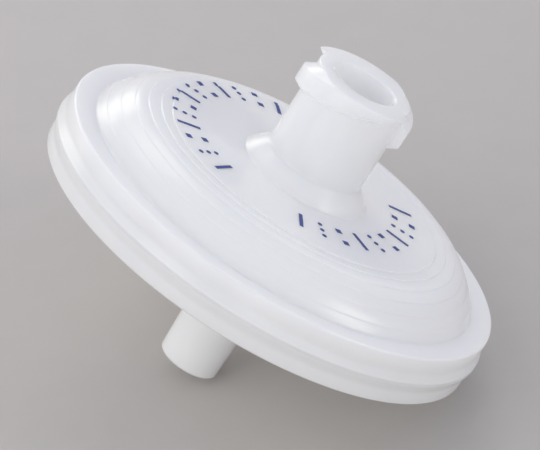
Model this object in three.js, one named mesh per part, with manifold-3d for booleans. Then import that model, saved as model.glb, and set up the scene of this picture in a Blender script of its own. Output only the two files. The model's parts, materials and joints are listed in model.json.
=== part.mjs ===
// Syringe filter: two welded mouldings around a membrane and a prefilter.
// Millimetres. It is built upright, with the flow axis on Z, the inlet up and the outlet tip's
// end face at z = 0, and is then laid down as it comes to rest.

import * as THREE from 'three';
import { mergeVertices } from 'three/addons/utils/BufferGeometryUtils.js';
import Module from 'manifold-3d';

const wasm = await Module();
wasm.setup();

// ---- Driving dimensions ----

const aroundSegments = 60;

// Clearance between pieces that lie against each other.
const seatClearance = 0.05;
const sideClearance = 0.1;

// Outlet tip: a male Luer slip taper, 6 % on the diameter.
const luerSlope = 0.03;
const tipEndRadius = 2.0;
const tipEdge = 0.15;
const tipLength = 7.0;
const tipBossRadius = 3.4;
const tipBossHeight = 0.75;
const tipBoreRadius = 1.05;
const tipBoreGrowth = 0.15;

// Rim: two walls that meet in a weld ridge.
const rimRadius = 15.27;
const rimTopEdge = 0.15;
const footEdge = 0.1;
const ridgeRadius = 15.5;
const ridgeLand = 0.1;
const ridgeSlope = 0.6;
const lowerRimHeight = 1.7;
const upperRimHeight = 1.9;

// Underside of the outlet half.
const undersideDrop = 0.69;
const undersideSlopeWidth = 2.0;
const undersideDish = 0.15;
const footLandWidth = 1.2;

// Printed side of the inlet half: a flat land, a dome cut by shallow steps, and the crown.
const domeFootRadius = 13.7;
const domeInnerRadius = 9.6;
const domeRise = 2.46;
const domePower = 2.5;
const stepRadii = [13.28, 12.66, 11.97, 11.2, 10.42, 9.65];
const stepHeight = 0.08;
const stepRun = 0.04;
const crownRise = 0.16;

// Inlet column: a female Luer lock.
const columnRadius = 3.3;
const columnLength = 7.37;
const columnEdge = 0.1;
const collarRadius = 4.4;
const collarEdge = 0.25;
const collarHeight = 0.3;
const collarConeHeight = 0.65;
const collarFilletHeight = 0.2;
const collarConeRun = 0.65;
const socketMouthRadius = 2.15;
const socketMouthChamfer = 0.15;
const socketDepth = 7.2;
const throatRadius = 1.2;

// Luer-lock thread: two starts that run out through the end face.
const threadStarts = 2;
const threadLead = 5.0;
const threadCrestRadius = 3.96;
const threadCrestWidth = 1.15;
const threadRootWidth = 2.0;
const threadRootSink = 0.3;
const threadDepthBelowEnd = 1.58;
const threadStartAngle = -9;
const threadSweepAngle = 171;
const threadSegments = 18;
const threadEndEdge = 0.1;

// Membrane and prefilter.
const membraneRadius = 12.6;
const membraneThickness = 0.15;
const prefilterThickness = 1.6;
const clampRingWidth = 0.7;

// Inside of the housing.
const seatDepth = 0.6;
const roofWall = 1.55;
const roofSlopeWidth = 1.4;
const roofSlopeDrop = 1.1;
const throatFlare = 0.6;
const spacerRibs = 8;
const spacerRibWidth = 0.7;
const spacerRibInset = 1.4;
const spacerRibSink = 0.3;
const ringHeight = 0.45;
const ringWidth = 0.5;
const supportRings = 5;
const innerRingRadius = 3.6;
const drainRadius = 2.4;
const drainDepth = 0.9;
const drainChannels = 8;
const drainChannelWidth = 0.9;
const drainChannelExtra = 0.1;

// At rest it lies on one facet of the tip's edge and one of the rim's foot, counted round from +X.
const restFacet = 6;

// ---- Levels and radii worked out from the dimensions ----

const undersideLevel = tipLength + tipBossHeight;
const footLevel = undersideLevel + undersideDish + undersideDrop;
const partingLevel = footLevel + lowerRimHeight;
const rimTopLevel = partingLevel + upperRimHeight;

const seatLevel = partingLevel - seatDepth;
const channelLevel = seatLevel - ringHeight;
const membraneLevel = seatLevel + seatClearance;
const clampLevel = membraneLevel + membraneThickness + seatClearance;
const clampOuterRadius = membraneRadius;
const clampInnerRadius = clampOuterRadius - clampRingWidth;
const seatRadius = membraneRadius + sideClearance;
const prefilterRadius = clampInnerRadius - sideClearance;
const ribFootLevel = clampLevel + prefilterThickness + seatClearance;

const domeTopLevel = rimTopLevel + domeRise;
const crownLevel = domeTopLevel + crownRise;
const columnBaseLevel = crownLevel + collarHeight + collarConeHeight + collarFilletHeight;
const inletEndLevel = crownLevel + columnLength;
const socketFloorLevel = inletEndLevel - socketDepth;
const roofLevel = domeTopLevel - roofWall;
const roofRadius = clampInnerRadius - roofSlopeWidth;

const tipContactRadius = tipEndRadius - tipEdge;
const footContactRadius = rimRadius - footEdge;
const facetShare = Math.cos(Math.PI / aroundSegments);
const restAzimuth = ((restFacet + 0.5) / aroundSegments) * 2 * Math.PI;
const leanAngle = Math.atan2(footLevel, (footContactRadius - tipContactRadius) * facetShare);

// ---- Geometry helpers ----

// Turns a closed outline of [radius, height] points about the Z axis.
function revolve(outline) {
  const points = outline.map(([radius, height]) => new THREE.Vector2(radius, height));
  points.push(points[0].clone());
  return new THREE.LatheGeometry(points, aroundSegments).rotateX(Math.PI / 2);
}

// Points of a quarter round from one point to another; the corner is where its tangents meet.
function quarterRound(from, corner, to, steps = 3) {
  const points = [];
  for (let step = 1; step < steps; step += 1) {
    const angle = (step / steps) * (Math.PI / 2);
    const along = 1 - Math.cos(angle);
    const back = 1 - Math.sin(angle);
    points.push([
      corner[0] + (from[0] - corner[0]) * back + (to[0] - corner[0]) * along,
      corner[1] + (from[1] - corner[1]) * back + (to[1] - corner[1]) * along,
    ]);
  }
  return [from, ...points, to];
}

function toSolid(geometry) {
  const bare = geometry.clone();
  bare.deleteAttribute('normal');
  bare.deleteAttribute('uv');
  const merged = mergeVertices(bare);
  return new wasm.Manifold(new wasm.Mesh({
    numProp: 3,
    vertProperties: Float32Array.from(merged.attributes.position.array),
    triVerts: Uint32Array.from(merged.index.array),
  }));
}

function toGeometry(solid) {
  const mesh = solid.getMesh();
  const geometry = new THREE.BufferGeometry();
  geometry.setAttribute('position', new THREE.BufferAttribute(mesh.vertProperties, mesh.numProp));
  geometry.setIndex(new THREE.BufferAttribute(mesh.triVerts, 1));
  geometry.computeVertexNormals();
  return geometry;
}

// A bar that lies along a radius, turned to its place in a ring of equal bars.
function radialBar(innerRadius, outerRadius, width, bottom, top, turn) {
  const bar = new THREE.BoxGeometry(outerRadius - innerRadius, width, top - bottom);
  bar.translate((innerRadius + outerRadius) / 2, 0, (bottom + top) / 2);
  return bar.rotateZ(turn);
}

// ---- Inlet half ----

// The dome's level at a radius: steep at its foot, level at its inner edge.
function domeLevel(radius) {
  const share = (radius - domeInnerRadius) / (domeFootRadius - domeInnerRadius);
  return rimTopLevel + domeRise * (1 - share ** domePower);
}

// The dome from its foot inwards, with a small riser at each step.
function domeOutline() {
  const outline = [[domeFootRadius, rimTopLevel]];
  for (const radius of stepRadii) {
    outline.push([radius, domeLevel(radius) - stepHeight / 2]);
    outline.push([radius - stepRun, domeLevel(radius) + stepHeight / 2]);
  }
  return outline;
}

function inletOutline() {
  const flange = partingLevel + seatClearance;
  const coneTopRadius = collarRadius - collarEdge - collarConeRun;
  const socketFloorRadius = socketMouthRadius - luerSlope * socketDepth;
  return [
    [clampInnerRadius, clampLevel],
    [clampOuterRadius, clampLevel],
    [clampOuterRadius, flange],
    [ridgeRadius, flange],
    [ridgeRadius, flange + ridgeLand],
    [rimRadius, flange + ridgeLand + ridgeSlope],
    ...quarterRound(
      [rimRadius, rimTopLevel - rimTopEdge],
      [rimRadius, rimTopLevel],
      [rimRadius - rimTopEdge, rimTopLevel],
    ),
    ...domeOutline(),
    [collarRadius, crownLevel],
    [collarRadius - collarEdge, crownLevel + collarHeight],
    [coneTopRadius, crownLevel + collarHeight + collarConeHeight],
    [columnRadius, columnBaseLevel],
    [columnRadius, inletEndLevel - columnEdge],
    [columnRadius - columnEdge, inletEndLevel],
    [socketMouthRadius + socketMouthChamfer, inletEndLevel],
    [socketMouthRadius, inletEndLevel - socketMouthChamfer],
    [socketFloorRadius, socketFloorLevel],
    [throatRadius, socketFloorLevel],
    [throatRadius, roofLevel + throatFlare],
    [throatRadius + throatFlare, roofLevel],
    [roofRadius, roofLevel],
    [clampInnerRadius, roofLevel - roofSlopeDrop],
  ];
}

// One thread start: a bar bent round the column along a helix, with a crest narrower than its root.
function threadStart(turn) {
  const rootRadius = columnRadius - threadRootSink;
  const rootGrowth = (threadRootWidth - threadCrestWidth) / (threadCrestRadius - columnRadius);
  const bar = new THREE.BoxGeometry(1, 1, 1, threadSegments, 1, 1);
  const position = bar.attributes.position;
  for (let index = 0; index < position.count; index += 1) {
    const along = position.getX(index) + 0.5;
    const radius = position.getY(index) > 0 ? rootRadius : threadCrestRadius;
    const width = threadCrestWidth + rootGrowth * (threadCrestRadius - radius);
    const degrees = threadStartAngle + along * threadSweepAngle;
    const angle = THREE.MathUtils.degToRad(degrees) + turn;
    const middle = inletEndLevel - threadDepthBelowEnd + (threadLead * degrees) / 360;
    position.setXYZ(
      index,
      radius * Math.cos(angle),
      radius * Math.sin(angle),
      middle + position.getZ(index) * width,
    );
  }
  return bar;
}

// What the thread is trimmed to: the end face and the small bevel around it.
function threadEnvelope() {
  return revolve([
    [columnRadius - threadRootSink / 2, columnBaseLevel],
    [threadCrestRadius + threadEndEdge, columnBaseLevel],
    [threadCrestRadius + threadEndEdge, inletEndLevel - 2 * threadEndEdge],
    [threadCrestRadius - threadEndEdge, inletEndLevel],
    [columnRadius - threadRootSink / 2, inletEndLevel],
  ]);
}

function inletHalf() {
  let solid = toSolid(revolve(inletOutline()));
  const envelope = toSolid(threadEnvelope());
  for (let start = 0; start < threadStarts; start += 1) {
    const turn = (start / threadStarts) * 2 * Math.PI;
    solid = solid.add(toSolid(threadStart(turn)).intersect(envelope));
  }
  for (let rib = 0; rib < spacerRibs; rib += 1) {
    const turn = ((rib + 0.5) / spacerRibs) * 2 * Math.PI;
    const bar = radialBar(
      throatRadius + spacerRibInset,
      clampInnerRadius + spacerRibSink,
      spacerRibWidth,
      ribFootLevel,
      roofLevel + spacerRibSink,
      turn,
    );
    solid = solid.add(toSolid(bar));
  }
  return toGeometry(solid);
}

// ---- Outlet half ----

function supportRingOutline() {
  const outline = [];
  const ringPitch = (prefilterRadius - innerRingRadius) / supportRings;
  for (let ring = supportRings - 1; ring >= 0; ring -= 1) {
    const middle = innerRingRadius + ring * ringPitch;
    outline.push([middle + ringWidth / 2, channelLevel]);
    outline.push([middle + ringWidth / 2, seatLevel]);
    outline.push([middle - ringWidth / 2, seatLevel]);
    outline.push([middle - ringWidth / 2, channelLevel]);
  }
  return outline;
}

function outletOutline() {
  const tipRootRadius = tipEndRadius + luerSlope * tipLength;
  const footInnerRadius = footContactRadius - footLandWidth;
  const undersideRadius = footInnerRadius - undersideSlopeWidth;
  return [
    [tipBoreRadius, 0],
    [tipContactRadius, 0],
    [tipEndRadius, tipEdge],
    [tipRootRadius, tipLength],
    [tipBossRadius, undersideLevel],
    [undersideRadius, undersideLevel + undersideDish],
    [footInnerRadius, footLevel],
    [footContactRadius, footLevel],
    [rimRadius, footLevel + footEdge],
    [rimRadius, partingLevel - ridgeLand - ridgeSlope],
    [ridgeRadius, partingLevel - ridgeLand],
    [ridgeRadius, partingLevel],
    [seatRadius, partingLevel],
    [seatRadius, seatLevel],
    [prefilterRadius, seatLevel],
    [prefilterRadius, channelLevel],
    ...supportRingOutline(),
    [drainRadius, channelLevel],
    [tipBoreRadius + tipBoreGrowth, channelLevel - drainDepth],
  ];
}

function outletHalf() {
  let solid = toSolid(revolve(outletOutline()));
  for (let channel = 0; channel < drainChannels; channel += 1) {
    const turn = (channel / drainChannels) * 2 * Math.PI;
    const cutter = radialBar(
      tipBoreRadius + tipBoreGrowth,
      prefilterRadius,
      drainChannelWidth,
      channelLevel - drainChannelExtra,
      partingLevel,
      turn,
    );
    solid = solid.subtract(toSolid(cutter));
  }
  return toGeometry(solid);
}

// ---- Media ----

function disc(radius, thickness, bottom) {
  const geometry = new THREE.CylinderGeometry(radius, radius, thickness, aroundSegments);
  return geometry.rotateX(Math.PI / 2).translate(0, 0, bottom + thickness / 2);
}

// ---- Assembly ----

function part(name, geometry, color, roughness) {
  const material = new THREE.MeshStandardMaterial({ color, roughness, metalness: 0 });
  const mesh = new THREE.Mesh(geometry, material);
  mesh.name = name;
  return mesh;
}

const naturalPolypropylene = 0xe6e8ec;

const upright = new THREE.Group();
upright.add(part('inlet_half', inletHalf(), naturalPolypropylene, 0.35));
upright.add(part('outlet_half', outletHalf(), naturalPolypropylene, 0.35));
upright.add(part(
  'membrane_disc',
  disc(membraneRadius, membraneThickness, membraneLevel),
  0xf7f7f4,
  0.8,
));
upright.add(part(
  'prefilter_disc',
  disc(prefilterRadius, prefilterThickness, clampLevel),
  0xf4f4ef,
  0.95,
));

// The side that it rests on is turned to +X and tipped down.
upright.rotation.z = -restAzimuth;
const syringeFilter = new THREE.Group();
syringeFilter.add(upright);
syringeFilter.rotation.y = leanAngle;

// The origin is under the middle of the part, on the surface that it lies on.
const box = new THREE.Box3().setFromObject(syringeFilter, true);
const middle = box.getCenter(new THREE.Vector3());
syringeFilter.position.set(-middle.x, -middle.y, -box.min.z);

export default syringeFilter;
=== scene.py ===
import json
from math import acos, atan2, cos, degrees, pi, radians, sin, tan

import bpy
from mathutils import Matrix, Vector


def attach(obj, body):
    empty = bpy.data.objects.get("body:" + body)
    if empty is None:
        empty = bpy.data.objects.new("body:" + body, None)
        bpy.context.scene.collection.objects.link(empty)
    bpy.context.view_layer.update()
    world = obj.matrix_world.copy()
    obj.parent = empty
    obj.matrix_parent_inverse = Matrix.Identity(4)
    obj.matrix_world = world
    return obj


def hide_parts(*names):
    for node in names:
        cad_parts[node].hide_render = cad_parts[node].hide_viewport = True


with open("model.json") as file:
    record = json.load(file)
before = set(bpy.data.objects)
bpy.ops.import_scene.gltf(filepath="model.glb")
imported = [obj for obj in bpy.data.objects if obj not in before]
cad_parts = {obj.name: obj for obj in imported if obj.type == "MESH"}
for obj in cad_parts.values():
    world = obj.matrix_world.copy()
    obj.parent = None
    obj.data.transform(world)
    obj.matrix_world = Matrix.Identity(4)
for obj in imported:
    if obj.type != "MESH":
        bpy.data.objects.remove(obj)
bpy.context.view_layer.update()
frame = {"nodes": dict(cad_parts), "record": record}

mm = 0.001

drawing = {
    "turnSteps": 240,       # faces round a turned piece
    "arcStep": 15,          # degrees for each step of a fillet
    "straight": 177,        # degrees; a corner more open than this gets no fillet
    "filletShare": 0.48,    # of the shorter side, the most that a fillet takes up
    "outlineGap": 0.002,    # mm; points of an outline that are closer become one
    "turnedGap": 0.001,     # mm; the same once the outline is turned
    "blockEdge": 0.08,      # mm, bevel of a block
    "blockEdgeSteps": 2,
    "smoothBelow": 32,      # degrees between faces that are shaded as one surface
}


def deselectAll():
    bpy.ops.object.select_all(action="DESELECT")


def makeActive(piece):
    deselectAll()
    piece.select_set(True)
    bpy.context.view_layer.objects.active = piece


def addPrimitive(name, operator, **settings):
    deselectAll()
    operator(**settings)
    piece = bpy.context.object
    piece.name = piece.data.name = name
    return piece


def applyModifier(piece, kind, **settings):
    makeActive(piece)
    modifier = piece.modifiers.new(kind.title(), kind)
    for name, value in settings.items():
        setattr(modifier, name, value)
    bpy.ops.object.modifier_apply(modifier=modifier.name)


def combine(piece, tool, operation):
    # a Boolean with another piece, which is used up by it
    applyModifier(piece, "BOOLEAN", operation=operation, object=tool, solver="EXACT")
    bpy.data.objects.remove(tool)


def roundedOutline(corners, arcStep=drawing["arcStep"]):
    # corners are (radius, height, fillet) in mm; each fillet becomes an arc of short steps
    outline = []
    for index, (x, z, fillet) in enumerate(corners):
        corner = Vector((x, z))
        before = Vector(corners[index - 1][:2]) - corner
        after = Vector(corners[(index + 1) % len(corners)][:2]) - corner
        lengths = before.length, after.length
        before.normalize()
        after.normalize()
        inside = acos(max(-1, min(1, before.dot(after))))
        if fillet <= 0 or inside > radians(drawing["straight"]):
            outline.append(corner)
            continue
        reach = min(fillet / tan(inside / 2), drawing["filletShare"] * min(lengths))
        radius = reach * tan(inside / 2)
        centre = corner + (before + after).normalized() * (radius / sin(inside / 2))
        start, end = corner + before * reach - centre, corner + after * reach - centre
        turn = atan2(start.cross(end), start.dot(end))
        steps = max(2, round(abs(degrees(turn)) / arcStep))
        for step in range(steps + 1):
            angle = turn * step / steps
            outline.append(centre + Vector((start.x * cos(angle) - start.y * sin(angle),
                                            start.x * sin(angle) + start.y * cos(angle))))
    return outline


def walkOutline(name, outline):
    # one vertex extruded from point to point round a closed outline, in mm on the X and Z axes
    piece = addPrimitive(name, bpy.ops.mesh.primitive_plane_add, size=mm)
    bpy.ops.object.mode_set(mode="EDIT")
    bpy.ops.mesh.select_all(action="SELECT")
    bpy.ops.mesh.merge(type="CENTER")
    first = outline[0] * mm
    bpy.ops.transform.translate(value=(first.x, 0, first.y))
    for here, following in zip(outline, outline[1:] + outline[:1]):
        step = (following - here) * mm
        bpy.ops.mesh.extrude_region_move(TRANSFORM_OT_translate={"value": (step.x, 0, step.y)})
    bpy.ops.mesh.select_all(action="SELECT")
    bpy.ops.mesh.remove_doubles(threshold=drawing["outlineGap"] * mm)
    bpy.ops.object.mode_set(mode="OBJECT")
    return piece


def spinOutline(name, corners, arcStep=drawing["arcStep"]):
    # a closed outline turned round the flow axis, as the mould's cavity was
    piece = walkOutline(name, [point * roundShare for point in roundedOutline(corners, arcStep)])
    # only radii shrink to the round part's size; heights stay
    makeActive(piece)
    bpy.ops.object.mode_set(mode="EDIT")
    bpy.ops.mesh.select_all(action="SELECT")
    bpy.ops.transform.resize(value=(1, 1, 1 / roundShare), center_override=(0, 0, 0))
    bpy.ops.mesh.spin(steps=drawing["turnSteps"], angle=2 * pi, center=(0, 0, 0), axis=(0, 0, 1))
    bpy.ops.mesh.select_all(action="SELECT")
    bpy.ops.mesh.remove_doubles(threshold=drawing["turnedGap"] * mm)
    bpy.ops.mesh.normals_make_consistent(inside=False)
    bpy.ops.object.mode_set(mode="OBJECT")
    return piece


def bevelledBlock(name, size, middle, turn):
    # size and middle are in mm; the turn is round the flow axis
    piece = addPrimitive(name, bpy.ops.mesh.primitive_cube_add, size=1)
    piece.data.transform(Matrix.Diagonal((*[side * mm for side in size], 1)))
    applyModifier(piece, "BEVEL", width=drawing["blockEdge"] * mm, segments=drawing["blockEdgeSteps"])
    piece.data.transform(Matrix.Rotation(turn, 4, "Z") @ Matrix.Translation(Vector(middle) * mm))
    return piece


def layDown(piece):
    # from upright, tip end at the origin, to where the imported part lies; the object stays at the origin
    piece.data.transform(piece.matrix_world)
    piece.matrix_world = Matrix.Identity(4)
    piece.data.transform(restPlace)


def smoothFaces(piece, angle=drawing["smoothBelow"]):
    makeActive(piece)
    bpy.ops.object.shade_smooth_by_angle(angle=radians(angle))
    applyModifier(piece, "WEIGHTED_NORMAL", keep_sharp=True)


def finishPiece(piece, material, slot, *nodes):
    piece.data.materials.clear()
    piece.data.materials.append(material)
    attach(piece, "root")
    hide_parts(*nodes)


rest = {
    "turn": -39,            # degrees round the flow axis, before it leans
    "mountAside": 1.45,     # mm from the flow axis to the tip's mount, which lies beside the bore
    "flats": 60,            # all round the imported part
}
mounts = {mount["name"]: mount for mount in frame["record"]["mounts"]}
flowAxis = Vector(mounts["inlet_end"]["axis"])
leanAngle = atan2(flowAxis.x, flowAxis.z)
tipCentre = Vector(mounts["outlet_tip_end"]["pos_m"]) - Vector((0, rest["mountAside"] * mm, 0))
restPlace = (Matrix.Translation(tipCentre) @ Matrix.Rotation(leanAngle, 4, "Y")
             @ Matrix.Rotation(radians(rest["turn"]), 4, "Z"))

# the round part touches the middle of each flat
roundShare = cos(pi / rest["flats"])


def addNode(tree, kind, settings=None, **inputs):
    # underscores in an input's name stand for spaces, and i0 is the first input;
    # a socket is linked, anything else is a value
    node = tree.nodes.new(kind)
    for name, value in (settings or {}).items():
        setattr(node, name, value)
    for name, value in inputs.items():
        numbered = name[0] == "i" and name[1:].isdigit()
        key = int(name[1:]) if numbered else name.replace("_", " ")
        if isinstance(value, bpy.types.NodeSocket):
            tree.links.new(value, node.inputs[key])
        else:
            node.inputs[key].default_value = value
    return node


def linear(hexColour):
    # sRGB hex to the linear colour that Blender's sockets take
    parts = [int(hexColour[place:place + 2], 16) / 255 for place in (1, 3, 5)]
    return [part / 12.92 if part <= 0.04045 else ((part + 0.055) / 1.055) ** 2.4 for part in parts] + [1.0]


def newMaterial(name):
    material = bpy.data.materials.new(name)
    material.use_nodes = True
    tree = material.node_tree
    tree.nodes.clear()
    output = addNode(tree, "ShaderNodeOutputMaterial")
    place = addNode(tree, "ShaderNodeTexCoord").outputs["Object"]
    return material, tree, output, place


def noise(tree, place, size, detail):
    # size in mm
    return addNode(tree, "ShaderNodeTexNoise", Vector=place, Scale=1 / (size * mm),
                   Detail=detail).outputs["Fac"]


def mapRange(tree, value, span, ends=(0.0, 1.0), **settings):
    return addNode(tree, "ShaderNodeMapRange", settings, Value=value, From_Min=span[0], From_Max=span[1],
                   To_Min=ends[0], To_Max=ends[1]).outputs["Result"]


def calculate(tree, operation, *values):
    inputs = {f"i{index}": value for index, value in enumerate(values)}
    return addNode(tree, "ShaderNodeMath", {"operation": operation}, **inputs).outputs["Value"]


def mixColours(tree, share, first, second, blend="MIX"):
    # each colour is hex or a socket
    ends = [linear(end) if isinstance(end, str) else end for end in (first, second)]
    return addNode(tree, "ShaderNodeMix", {"data_type": "RGBA", "blend_type": blend}, Factor=share,
                   A=ends[0], B=ends[1]).outputs["Result"]


def bump(tree, height, relief, **inputs):
    # relief is (strength, depth in mm)
    return addNode(tree, "ShaderNodeBump", Strength=relief[0], Distance=relief[1] * mm, Height=height,
                   **inputs).outputs["Normal"]


def naturalPolypropylene():
    # unfilled polypropylene, injection moulded in a fine polished tool:
    # milky and translucent, so light spreads inside it and shadows and edges stay soft
    looks = {
        "body": "#fdfdfe",
        "cloud": "#fafbfd",
        "cloudSize": 5.0,           # mm, flow clouds in the melt
        "wave": 1.6,                # mm, sink marks that bend a highlight a little
        "waveRelief": (0.03, 0.05),
        "toolGrain": 0.16,          # mm, polishing marks of the tool
        "grainSpan": (0.3, 0.7),
        "grainRelief": (0.02, 0.01),
        "roughness": (0.20, 0.265),
        "refraction": 1.49,
        "scatter": (1.0, 0.97, 0.94),
        "reach": (1.0, 3.0),        # mm that light travels in the disc, and in the thin-walled column
        "columnFoot": (14.6, 16.4), # mm above the tip end, where one becomes the other
        # light can't pass from one moulding to the other at the weld,
        # so its reach shrinks towards it, or the seam would be a dark line
        "weld": 10.28,              # mm above the tip end
        "nearWeld": (0.1, 1.2),     # mm from the weld, over which the reach shrinks
        "reachAtWeld": 0.08,        # share of the reach that is left there
    }
    material, tree, output, place = newMaterial("moulded natural polypropylene")
    clouds = noise(tree, place, looks["cloudSize"], 2.0)
    colour = mixColours(tree, clouds, looks["body"], looks["cloud"])
    grain = noise(tree, place, looks["toolGrain"], 3.0)
    gloss = mapRange(tree, grain, looks["grainSpan"], looks["roughness"])
    waved = bump(tree, noise(tree, place, looks["wave"], 1.0), looks["waveRelief"])
    normal = bump(tree, grain, looks["grainRelief"], Normal=waved)
    upright = addNode(tree, "ShaderNodeMapping", {"vector_type": "TEXTURE"}, Vector=place, Location=tipCentre,
                      Rotation=(0, leanAngle, 0))
    height = addNode(tree, "ShaderNodeSeparateXYZ", Vector=upright.outputs["Vector"]).outputs["Z"]
    openReach = mapRange(tree, height, [level * mm for level in looks["columnFoot"]],
                         [length * mm for length in looks["reach"]])
    fromWeld = calculate(tree, "ABSOLUTE", calculate(tree, "SUBTRACT", height, looks["weld"] * mm))
    share = mapRange(tree, fromWeld, [length * mm for length in looks["nearWeld"]],
                     (looks["reachAtWeld"], 1.0))
    reach = calculate(tree, "MULTIPLY", openReach, share)
    shader = addNode(tree, "ShaderNodeBsdfPrincipled", {"subsurface_method": "RANDOM_WALK"},
                     Base_Color=colour, Roughness=gloss, IOR=looks["refraction"], Subsurface_Weight=1.0,
                     Subsurface_Radius=looks["scatter"], Subsurface_Scale=reach, Normal=normal)
    tree.links.new(shader.outputs["BSDF"], output.inputs["Surface"])
    return material


def padPrintingInk():
    # two-part ink laid by a silicone pad: a thin blue film, satin,
    # a little uneven where the pad left less of it
    looks = {
        "full": "#283f88", "thin": "#475b9c",
        "patch": 0.35,              # mm
        "thinSpan": (0.45, 0.75), "glossSpan": (0.3, 0.7), "roughness": (0.38, 0.55),
        "relief": (0.2, 0.004), "refraction": 1.5,
    }
    material, tree, output, place = newMaterial("pad printing ink")
    patches = noise(tree, place, looks["patch"], 2.0)
    colour = mixColours(tree, mapRange(tree, patches, looks["thinSpan"]), looks["full"], looks["thin"])
    shader = addNode(tree, "ShaderNodeBsdfPrincipled", Base_Color=colour,
                     Roughness=mapRange(tree, patches, looks["glossSpan"], looks["roughness"]),
                     IOR=looks["refraction"], Normal=bump(tree, patches, looks["relief"]))
    tree.links.new(shader.outputs["BSDF"], output.inputs["Surface"])
    return material


def castMembrane():
    # phase-inversion cast membrane: an even matte white, with pores too fine to see,
    # drawn here as coarse as they need to show
    looks = {
        "face": "#f6f6f3", "pore": "#e6e6e1",
        "poreSize": 0.12,           # mm
        "poreSpan": (0.0, 0.35), "relief": (0.3, 0.01), "roughness": 0.85,
    }
    material, tree, output, place = newMaterial("cast membrane")
    pores = addNode(tree, "ShaderNodeTexVoronoi", Vector=place, Scale=1 / (looks["poreSize"] * mm))
    aroundPore = mapRange(tree, pores.outputs["Distance"], looks["poreSpan"])
    shader = addNode(tree, "ShaderNodeBsdfPrincipled", Roughness=looks["roughness"],
                     Base_Color=mixColours(tree, aroundPore, looks["pore"], looks["face"]),
                     Normal=bump(tree, aroundPore, looks["relief"]))
    tree.links.new(shader.outputs["BSDF"], output.inputs["Surface"])
    return material


def glassFibreMat():
    # borosilicate fibres laid wet into a mat: soft warm white, crossed by fine hairs
    looks = {
        "fibre": "#f7f6f1", "gap": "#dddbd2",
        "fibreWidth": 0.06, "fibreLength": 1.2,     # mm
        "layers": (20, 80, 140),                    # degrees, the way that each layer of hairs runs
        "fibreSpan": (0.45, 0.7), "relief": (0.5, 0.03), "roughness": 0.95, "sheen": 0.3,
    }
    material, tree, output, place = newMaterial("glass fibre mat")
    along, across = 1 / (looks["fibreLength"] * mm), 1 / (looks["fibreWidth"] * mm)
    hairs = None
    for turn in looks["layers"]:
        laid = addNode(tree, "ShaderNodeMapping", Vector=place, Rotation=(0, leanAngle, radians(turn)),
                       Scale=(along, across, across))
        layer = addNode(tree, "ShaderNodeTexNoise", Vector=laid.outputs["Vector"], Scale=1.0,
                        Detail=1.0).outputs["Fac"]
        hairs = layer if hairs is None else calculate(tree, "MAXIMUM", hairs, layer)
    show = mapRange(tree, hairs, looks["fibreSpan"])
    shader = addNode(tree, "ShaderNodeBsdfPrincipled", Roughness=looks["roughness"],
                     Sheen_Weight=looks["sheen"], Normal=bump(tree, show, looks["relief"]),
                     Base_Color=mixColours(tree, show, looks["gap"], looks["fibre"]))
    tree.links.new(shader.outputs["BSDF"], output.inputs["Surface"])
    return material


def greyCard():
    # uncoated grey card: matte, with a faint mottle of its fibres; painted shade darkens it towards one side,
    # standing in for the light falling off across the floor
    looks = {
        # painted shade: the card is lighter at one end and darker at the other, as light falls off across the
        # floor
        "paintedLitTone": "#cfcac7", "paintedShadedTone": "#b8b4b0",
        "towards": -59,             # degrees round from +X, the side where the painted shade makes the card darker
        "paintedShadeFall": 80.0,               # mm either side of the part, over which the painted shade deepens
        "mottle": "#f9f9f8",
        "mottleSize": 2.5,          # mm
        "roughness": 0.75, "specular": 0.25,
    }
    material, tree, output, place = newMaterial("grey card")
    turned = addNode(tree, "ShaderNodeMapping", {"vector_type": "TEXTURE"}, Vector=place,
                     Rotation=(0, 0, radians(looks["towards"])))
    along = addNode(tree, "ShaderNodeSeparateXYZ", Vector=turned.outputs["Vector"]).outputs["X"]
    # painted shade: the card's colour darkens across the floor towards one side
    paintedShadeFall = mapRange(tree, along, (-looks["paintedShadeFall"] * mm, looks["paintedShadeFall"] * mm), interpolation_type="SMOOTHERSTEP")
    cardWithPaintedShade = mixColours(tree, paintedShadeFall, looks["paintedLitTone"], looks["paintedShadedTone"])
    mottle = noise(tree, place, looks["mottleSize"], 4.0)
    shader = addNode(tree, "ShaderNodeBsdfPrincipled", Roughness=looks["roughness"],
                     Base_Color=mixColours(tree, mottle, cardWithPaintedShade, looks["mottle"], "MULTIPLY"),
                     Specular_IOR_Level=looks["specular"])
    tree.links.new(shader.outputs["BSDF"], output.inputs["Surface"])
    return material


polypropylene = naturalPolypropylene()
ink = padPrintingInk()
print("materials made")


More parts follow.
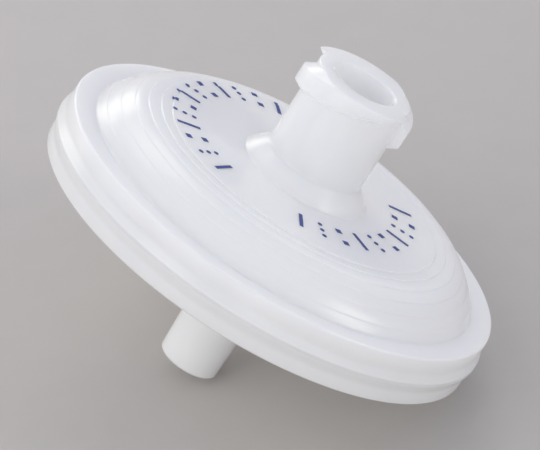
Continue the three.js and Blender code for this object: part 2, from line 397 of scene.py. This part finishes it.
# lengths in mm, heights above the tip end
inlet = {
    # the ridge runs a little into the outlet's, as the weld melted the two together
    "parting": 10.27, "partingFillet": 0.02,
    "ridge": 15.5, "ridgeLand": 0.17, "ridgeSlope": 0.6, "ridgeFoot": 0.9, "ridgeFillet": 0.06,
    "rim": 15.27, "rimTop": 12.19, "rimEdge": 0.15,
    "clampOuter": 12.6, "clampInner": 11.9, "clampFoot": 9.94,
    "domeFoot": 13.7, "domeFootFillet": 0.3, "domeInner": 9.6, "domeRise": 2.46, "domePower": 2.5,
    "steps": (13.28, 12.66, 11.97, 11.2, 10.42, 9.65), "betweenSteps": 3,
    "stepHeight": 0.08, "stepRun": 0.04, "stepFillets": (0.03, 0.05),
    "crown": 14.81, "crownFillet": 0.10,
    "collar": 4.4, "collarEdge": 0.25, "collarHeight": 0.3, "collarCone": (0.65, 0.65),
    "collarFillets": (0.12, 0.35),
    "column": 3.3, "columnRise": 0.2, "columnFillet": 0.5, "end": 22.18, "columnEdge": 0.1,
    "socketMouth": 2.15, "mouthEdge": 0.15, "mouthFillet": 0.1,
    "socketDepth": 7.2, "luerSlope": 0.03, "socketFloorFillet": 0.15,
    "throat": 1.2, "throatFlare": 0.6, "throatFillet": 0.2,
    "roof": 13.10, "roofRadius": 10.5, "roofFillet": 0.3, "roofDrop": 1.1, "roofEdgeFillet": 0.2,
    "edge": 0.06,           # the tool's usual edge radius
    "ribs": 8, "ribWidth": 0.7, "ribInner": 2.6, "ribOuter": 12.1, "ribFoot": 11.59,
    "ribSink": 0.3,         # how far a rib runs into the roof
}


def domeLevel(s, radius):
    share = max(0, (radius - s["domeInner"]) / (s["domeFoot"] - s["domeInner"]))
    return s["rimTop"] + s["domeRise"] * (1 - share ** s["domePower"])


def inletCorners(s):
    corners = [
        (s["clampInner"], s["clampFoot"], s["edge"]),
        (s["clampOuter"], s["clampFoot"], s["edge"]),
        (s["clampOuter"], s["parting"], s["edge"]),
        (s["ridge"], s["parting"], s["partingFillet"]),
        (s["ridge"], s["parting"] + s["ridgeLand"], s["ridgeFillet"]),
        (s["rim"], s["parting"] + s["ridgeLand"] + s["ridgeSlope"], s["ridgeFoot"]),
        (s["rim"], s["rimTop"], s["rimEdge"]),
        (s["domeFoot"], s["rimTop"], s["domeFootFillet"]),
    ]
    before = s["domeFoot"]
    for radius in s["steps"]:
        # the dome runs round between the steps, and a small riser stands at each
        for cut in range(1, s["betweenSteps"]):
            along = before + (radius - before) * cut / s["betweenSteps"]
            corners.append((along, domeLevel(s, along), 0))
        foot, top = domeLevel(s, radius) - s["stepHeight"] / 2, domeLevel(s, radius) + s["stepHeight"] / 2
        corners.append((radius, foot, s["stepFillets"][0]))
        corners.append((radius - s["stepRun"], top, s["stepFillets"][1]))
        before = radius
    coneTop = s["collar"] - s["collarEdge"] - s["collarCone"][0]
    coneLevel = s["crown"] + s["collarHeight"] + s["collarCone"][1]
    socketFloor = s["end"] - s["socketDepth"]
    corners += [
        (s["collar"], s["crown"], s["crownFillet"]),
        (s["collar"] - s["collarEdge"], s["crown"] + s["collarHeight"], s["collarFillets"][0]),
        (coneTop, coneLevel, s["collarFillets"][1]),
        (s["column"], coneLevel + s["columnRise"], s["columnFillet"]),
        (s["column"], s["end"], s["columnEdge"]),
        (s["socketMouth"] + s["mouthEdge"], s["end"], s["edge"]),
        (s["socketMouth"], s["end"] - s["mouthEdge"], s["mouthFillet"]),
        (s["socketMouth"] - s["luerSlope"] * s["socketDepth"], socketFloor, s["socketFloorFillet"]),
        (s["throat"], socketFloor, s["edge"]),
        (s["throat"], s["roof"] + s["throatFlare"], s["throatFillet"]),
        (s["throat"] + s["throatFlare"], s["roof"], s["throatFillet"]),
        (s["roofRadius"], s["roof"], s["roofFillet"]),
        (s["clampInner"], s["roof"] - s["roofDrop"], s["roofEdgeFillet"]),
    ]
    return corners


inletMoulding = spinOutline("inletMoulding", inletCorners(inlet))
print("inlet moulding turned:", len(inletMoulding.data.vertices), "vertices")

thread = {
    "starts": 2, "lead": 5.0, "crest": 3.96, "crestWidth": 1.15, "rootWidth": 2.0,
    "sink": 0.3,            # how far a start runs into the column
    "belowEnd": 1.58, "startAngle": -9, "sweep": 171, "steps": 96,
    "crestEdge": 0.12, "arcStep": 18,
    # what the starts are trimmed to at the column's end
    "envelopeDepth": 6, "endEdge": 0.1, "envelopeFillet": 0.12,
}


def threadStart(s, turn):
    # a section walked out beside the column, screwed round it and closed at both ends
    root = inlet["column"] - s["sink"]
    growth = (s["rootWidth"] - s["crestWidth"]) / (s["crest"] - inlet["column"])
    rootHalf = (s["crestWidth"] + growth * (s["crest"] - root)) / 2
    middle = inlet["end"] - s["belowEnd"] + s["lead"] * s["startAngle"] / 360
    outline = roundedOutline([
        (root, middle - rootHalf, 0),
        (s["crest"] * roundShare, middle - s["crestWidth"] / 2, s["crestEdge"]),
        (s["crest"] * roundShare, middle + s["crestWidth"] / 2, s["crestEdge"]),
        (root, middle + rootHalf, 0),
    ], s["arcStep"])
    piece = walkOutline("threadStart", outline)
    applyModifier(piece, "SCREW", axis="Z", angle=radians(s["sweep"]),
                  screw_offset=s["lead"] * s["sweep"] / 360 * mm,
                  steps=s["steps"], render_steps=s["steps"], use_merge_vertices=False)
    piece.data.transform(Matrix.Rotation(radians(s["startAngle"]) + turn, 4, "Z"))
    makeActive(piece)
    bpy.ops.object.mode_set(mode="EDIT")
    bpy.ops.mesh.select_all(action="DESELECT")
    bpy.ops.mesh.select_non_manifold()
    bpy.ops.mesh.edge_face_add()
    bpy.ops.mesh.select_all(action="SELECT")
    bpy.ops.mesh.normals_make_consistent(inside=False)
    bpy.ops.object.mode_set(mode="OBJECT")
    return piece


def threadEnvelope(s):
    inner = inlet["column"] - s["sink"] / 2
    outer = s["crest"] + s["endEdge"]
    return spinOutline("threadEnvelope", [
        (inner, inlet["end"] - s["envelopeDepth"], 0),
        (outer, inlet["end"] - s["envelopeDepth"], 0),
        (outer, inlet["end"] - 2 * s["endEdge"], 0),
        (s["crest"] - s["endEdge"], inlet["end"], s["envelopeFillet"]),
        (inner, inlet["end"], 0),
    ])


for start in range(thread["starts"]):
    lug = threadStart(thread, start * 2 * pi / thread["starts"])
    combine(lug, threadEnvelope(thread), "INTERSECT")
    combine(inletMoulding, lug, "UNION")
print("thread added:", len(inletMoulding.data.vertices), "vertices")

for index in range(inlet["ribs"]):
    length = inlet["ribOuter"] - inlet["ribInner"]
    height = inlet["roof"] + inlet["ribSink"] - inlet["ribFoot"]
    middle = (inlet["ribInner"] + inlet["ribOuter"]) / 2, 0, inlet["ribFoot"] + height / 2
    rib = bevelledBlock("spacerRib", (length, inlet["ribWidth"], height), middle,
                        (index + 0.5) * 2 * pi / inlet["ribs"])
    combine(inletMoulding, rib, "UNION")

layDown(inletMoulding)
smoothFaces(inletMoulding)
finishPiece(inletMoulding, polypropylene, "natural_polypropylene", "inlet_half")
print("inlet moulding done:", len(inletMoulding.data.polygons), "faces")


outlet = {
    "bore": 1.05, "boreGrowth": 0.15,
    "tipEnd": 2.0, "tipEdge": 0.15, "tipEndFillets": (0.04, 0.12),
    "tipLength": 7.0, "luerSlope": 0.03, "tipFoot": 0.5,
    "boss": 3.4, "bossFillet": 0.5,
    "underside": 7.75, "undersideDish": 0.15, "undersideRadius": 11.97, "undersideFillet": 0.6,
    "footInner": 13.97, "footInnerFillet": 0.15, "foot": 8.59, "footEdge": 0.1, "footFillets": (0.03, 0.08),
    "rim": 15.27, "ridge": 15.5, "ridgeLand": 0.1, "ridgeSlope": 0.6, "ridgeFoot": 0.9, "ridgeFillet": 0.04,
    "parting": 10.29, "partingFillet": 0.02,
    "seatRadius": 12.7, "seat": 9.69, "channel": 9.24, "supportOuter": 11.8,
    "rings": 5, "innerRing": 3.6, "ringPitch": 1.64, "ringWidth": 0.5,
    "drainRadius": 2.4, "drainDepth": 0.9, "drainFillet": 0.2,
    "channels": 8, "channelWidth": 0.9,
    "channelExtra": 0.1,    # how far a cutter runs below the channels
    "channelShort": 0.02,   # how far it stops short of the outermost support
    "edge": 0.06,           # the tool's usual edge radius
    "arcStep": 20,
}


def outletCorners(s):
    corners = [
        (s["bore"], 0, s["edge"]),
        (s["tipEnd"] - s["tipEdge"], 0, s["tipEndFillets"][0]),
        (s["tipEnd"], s["tipEdge"], s["tipEndFillets"][1]),
        (s["tipEnd"] + s["luerSlope"] * s["tipLength"], s["tipLength"], s["tipFoot"]),
        (s["boss"], s["underside"], s["bossFillet"]),
        (s["undersideRadius"], s["underside"] + s["undersideDish"], s["undersideFillet"]),
        (s["footInner"], s["foot"], s["footInnerFillet"]),
        (s["rim"] - s["footEdge"], s["foot"], s["footFillets"][0]),
        (s["rim"], s["foot"] + s["footEdge"], s["footFillets"][1]),
        (s["rim"], s["parting"] - s["ridgeLand"] - s["ridgeSlope"], s["ridgeFoot"]),
        (s["ridge"], s["parting"] - s["ridgeLand"], s["ridgeFillet"]),
        (s["ridge"], s["parting"], s["partingFillet"]),
        (s["seatRadius"], s["parting"], s["edge"]),
        (s["seatRadius"], s["seat"], s["edge"]),
        (s["supportOuter"], s["seat"], s["edge"]),
        (s["supportOuter"], s["channel"], s["edge"]),
    ]
    for ring in reversed(range(s["rings"])):
        middle = s["innerRing"] + ring * s["ringPitch"]
        for side, level in ((1, "channel"), (1, "seat"), (-1, "seat"), (-1, "channel")):
            corners.append((middle + side * s["ringWidth"] / 2, s[level], s["edge"]))
    corners += [
        (s["drainRadius"], s["channel"], s["drainFillet"]),
        (s["bore"] + s["boreGrowth"], s["channel"] - s["drainDepth"], s["drainFillet"]),
    ]
    return corners


outletMoulding = spinOutline("outletMoulding", outletCorners(outlet), outlet["arcStep"])
for index in range(outlet["channels"]):
    inner = outlet["bore"] + outlet["boreGrowth"]
    outer = outlet["supportOuter"] - outlet["channelShort"]
    length = outer - inner
    height = outlet["parting"] - outlet["channel"] + outlet["channelExtra"]
    middle = (inner + outer) / 2, 0, outlet["channel"] - outlet["channelExtra"] + height / 2
    cutter = bevelledBlock("drainCutter", (length, outlet["channelWidth"], height), middle,
                           index * 2 * pi / outlet["channels"])
    combine(outletMoulding, cutter, "DIFFERENCE")

layDown(outletMoulding)
smoothFaces(outletMoulding)
finishPiece(outletMoulding, polypropylene, "natural_polypropylene", "outlet_half")
print("outlet moulding done:", len(outletMoulding.data.polygons), "faces")


# plain bars, squares and dots in two arcs round the column
marks = {
    "centre": (-1.0, 0.75),     # off the flow axis
    "radius": 8.0,
    # degrees of the first and the last mark, and how many
    "leftArc": (111, 243, 13), "rightArc": (26, -74, 10),
    "height": 1.7, "barWidth": 0.27, "barCuts": 9,
    "square": 0.42, "squareCuts": 6,
    "dot": 0.17, "dotPoints": 20,
    "startLevel": 18,           # above the dome, from where they drop on to it
    "lift": 0.002,              # clear of the moulding's surface
    "film": 0.012,
    "smoothBelow": 40,
}


def flatPlate(width, height, cuts, offset=(0.0, 0.0)):
    # cut across, so that it can follow the moulding
    piece = addPrimitive("mark", bpy.ops.mesh.primitive_plane_add, size=1)
    piece.data.transform(Matrix.Translation((offset[0] * mm, offset[1] * mm, 0))
                         @ Matrix.Diagonal((width * mm, height * mm, 1, 1)))
    bpy.ops.object.mode_set(mode="EDIT")
    bpy.ops.mesh.select_all(action="SELECT")
    bpy.ops.mesh.subdivide(number_cuts=cuts)
    bpy.ops.object.mode_set(mode="OBJECT")
    return piece


def flatDot(radius, points, offset):
    piece = addPrimitive("mark", bpy.ops.mesh.primitive_circle_add, vertices=points, radius=radius * mm,
                         fill_type="TRIFAN")
    piece.data.transform(Matrix.Translation((offset[0] * mm, offset[1] * mm, 0)))
    return piece


def markPieces(kind, s):
    # each kind is drawn lying flat, its height along +Y
    tall = s["height"]
    if kind == "bar":
        return [flatPlate(s["barWidth"], tall, s["barCuts"])]
    if kind == "dots":
        return [flatDot(s["dot"], s["dotPoints"], (0, side * (tall / 2 - s["dot"]))) for side in (-1, 0, 1)]
    return [flatPlate(s["square"], s["square"], s["squareCuts"], (0, side * (tall - s["square"]) / 2))
            for side in (-1, 1)]


pattern = ("bar", "squares", "dots")
plates = []
for first, last, count in (marks["leftArc"], marks["rightArc"]):
    for index in range(count):
        turn = radians(first + (last - first) * index / (count - 1))
        centre = Matrix.Translation([length * mm for length in (*marks["centre"], marks["startLevel"])])
        outwards = Matrix.Translation((marks["radius"] * mm, 0, 0)) @ Matrix.Rotation(-pi / 2, 4, "Z")
        place = centre @ Matrix.Rotation(turn, 4, "Z") @ outwards
        for plate in markPieces(pattern[index % len(pattern)], marks):
            plate.data.transform(place)
            plates.append(plate)
deselectAll()
for plate in plates:
    plate.select_set(True)
bpy.context.view_layer.objects.active = plates[0]
bpy.ops.object.join()
printedMarks = bpy.context.object
printedMarks.name = printedMarks.data.name = "printedMarks"

# dropped on to the printed side along the flow axis
upright = inletMoulding.copy()
upright.data = inletMoulding.data.copy()
upright.data.transform(restPlace.inverted())
upright.parent = None
upright.matrix_world = Matrix.Identity(4)
bpy.context.collection.objects.link(upright)
applyModifier(printedMarks, "SHRINKWRAP", target=upright, wrap_method="PROJECT", use_project_z=True,
              use_negative_direction=True, use_positive_direction=False, offset=marks["lift"] * mm)
bpy.data.objects.remove(upright)
applyModifier(printedMarks, "SOLIDIFY", thickness=marks["film"] * mm, offset=1.0)
layDown(printedMarks)
smoothFaces(printedMarks, marks["smoothBelow"])
printedMarks.data.materials.clear()
printedMarks.data.materials.append(ink)
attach(printedMarks, "root")
print("printed marks done:", len(printedMarks.data.polygons), "faces")


for node, material in (("membrane_disc", castMembrane()), ("prefilter_disc", glassFibreMat())):
    media = frame["nodes"][node]
    media.data.materials.clear()
    media.data.materials.append(material)


# a light tent: softboxes all round, low ones for the side walls and high ones for the top,
# under a bluish sky
studio = {
    "floorWidth": 6.0,      # metres
    "skyColour": (0.76, 0.79, 1.0), "skyStrength": 0.6,
    "lampColour": (1.0, 0.98, 0.80),
    "distance": 1.2,        # metres from the part
    # degrees round, degrees up, width and height in metres, watts
    "softboxes": (
        (80, 12, 0.55, 0.35, 1.45),     # behind: the shine on the dome
        (-38, 20, 0.3, 0.5, 2.1),       # right: the narrow shine in front
        (22, 12, 0.62, 0.62, 0.6),
        (112, 12, 0.62, 0.62, 2.0),
        (158, 12, 0.62, 0.62, 0.5),
        (202, 12, 0.62, 0.62, 1.0),
        (248, 12, 0.62, 0.62, 1.5),
        (292, 12, 0.62, 0.62, 0.7),
        (-22, 45, 0.62, 0.62, 0.3),
        (68, 45, 0.62, 0.62, 2.1),
        (158, 45, 0.62, 0.62, 1.0),
        (202, 45, 0.62, 0.62, 2.2),
    ),
}

floor = addPrimitive("floor", bpy.ops.mesh.primitive_plane_add, size=studio["floorWidth"])
floor.data.materials.append(greyCard())

world = bpy.data.worlds.new("studio")
bpy.context.scene.world = world
world.use_nodes = True
worldTree = world.node_tree
worldTree.nodes.clear()
sky = addNode(worldTree, "ShaderNodeBackground", Color=(*studio["skyColour"], 1),
              Strength=studio["skyStrength"])
addNode(worldTree, "ShaderNodeOutputWorld", Surface=sky.outputs["Background"])

for around, above, width, height, watts in studio["softboxes"]:
    level = cos(radians(above))
    towards = Vector((cos(radians(around)) * level, sin(radians(around)) * level, sin(radians(above))))
    deselectAll()
    bpy.ops.object.light_add(type="AREA", location=towards * studio["distance"])
    lamp = bpy.context.object
    lamp.name = "softbox"
    lamp.data.shape = "RECTANGLE"
    lamp.data.size, lamp.data.size_y = width, height
    lamp.data.energy = watts
    lamp.data.color = studio["lampColour"]
    lamp.rotation_mode = "QUATERNION"
    lamp.rotation_quaternion = towards.to_track_quat("Z", "Y")

view = {
    "place": (-155.747, -371.403, 323.557),     # mm
    "right": (0.923963, -0.382438, 0.005875),
    "up": (0.230531, 0.569085, 0.789302),
    "forward": (0.305202, 0.727931, -0.613977),
    "sensor": 36, "lens": 539.1,                # mm
    "clip": (0.05, 20),                         # metres
}
deselectAll()
bpy.ops.object.camera_add()
camera = bpy.context.object
turned = Matrix((view["right"], view["up"], -Vector(view["forward"]))).transposed().to_4x4()
camera.matrix_world = Matrix.Translation(Vector(view["place"]) * mm) @ turned
camera.data.sensor_width = view["sensor"]
camera.data.lens = view["lens"]
camera.data.clip_start, camera.data.clip_end = view["clip"]
bpy.context.scene.camera = camera
bpy.context.scene.view_settings.view_transform = "Standard"
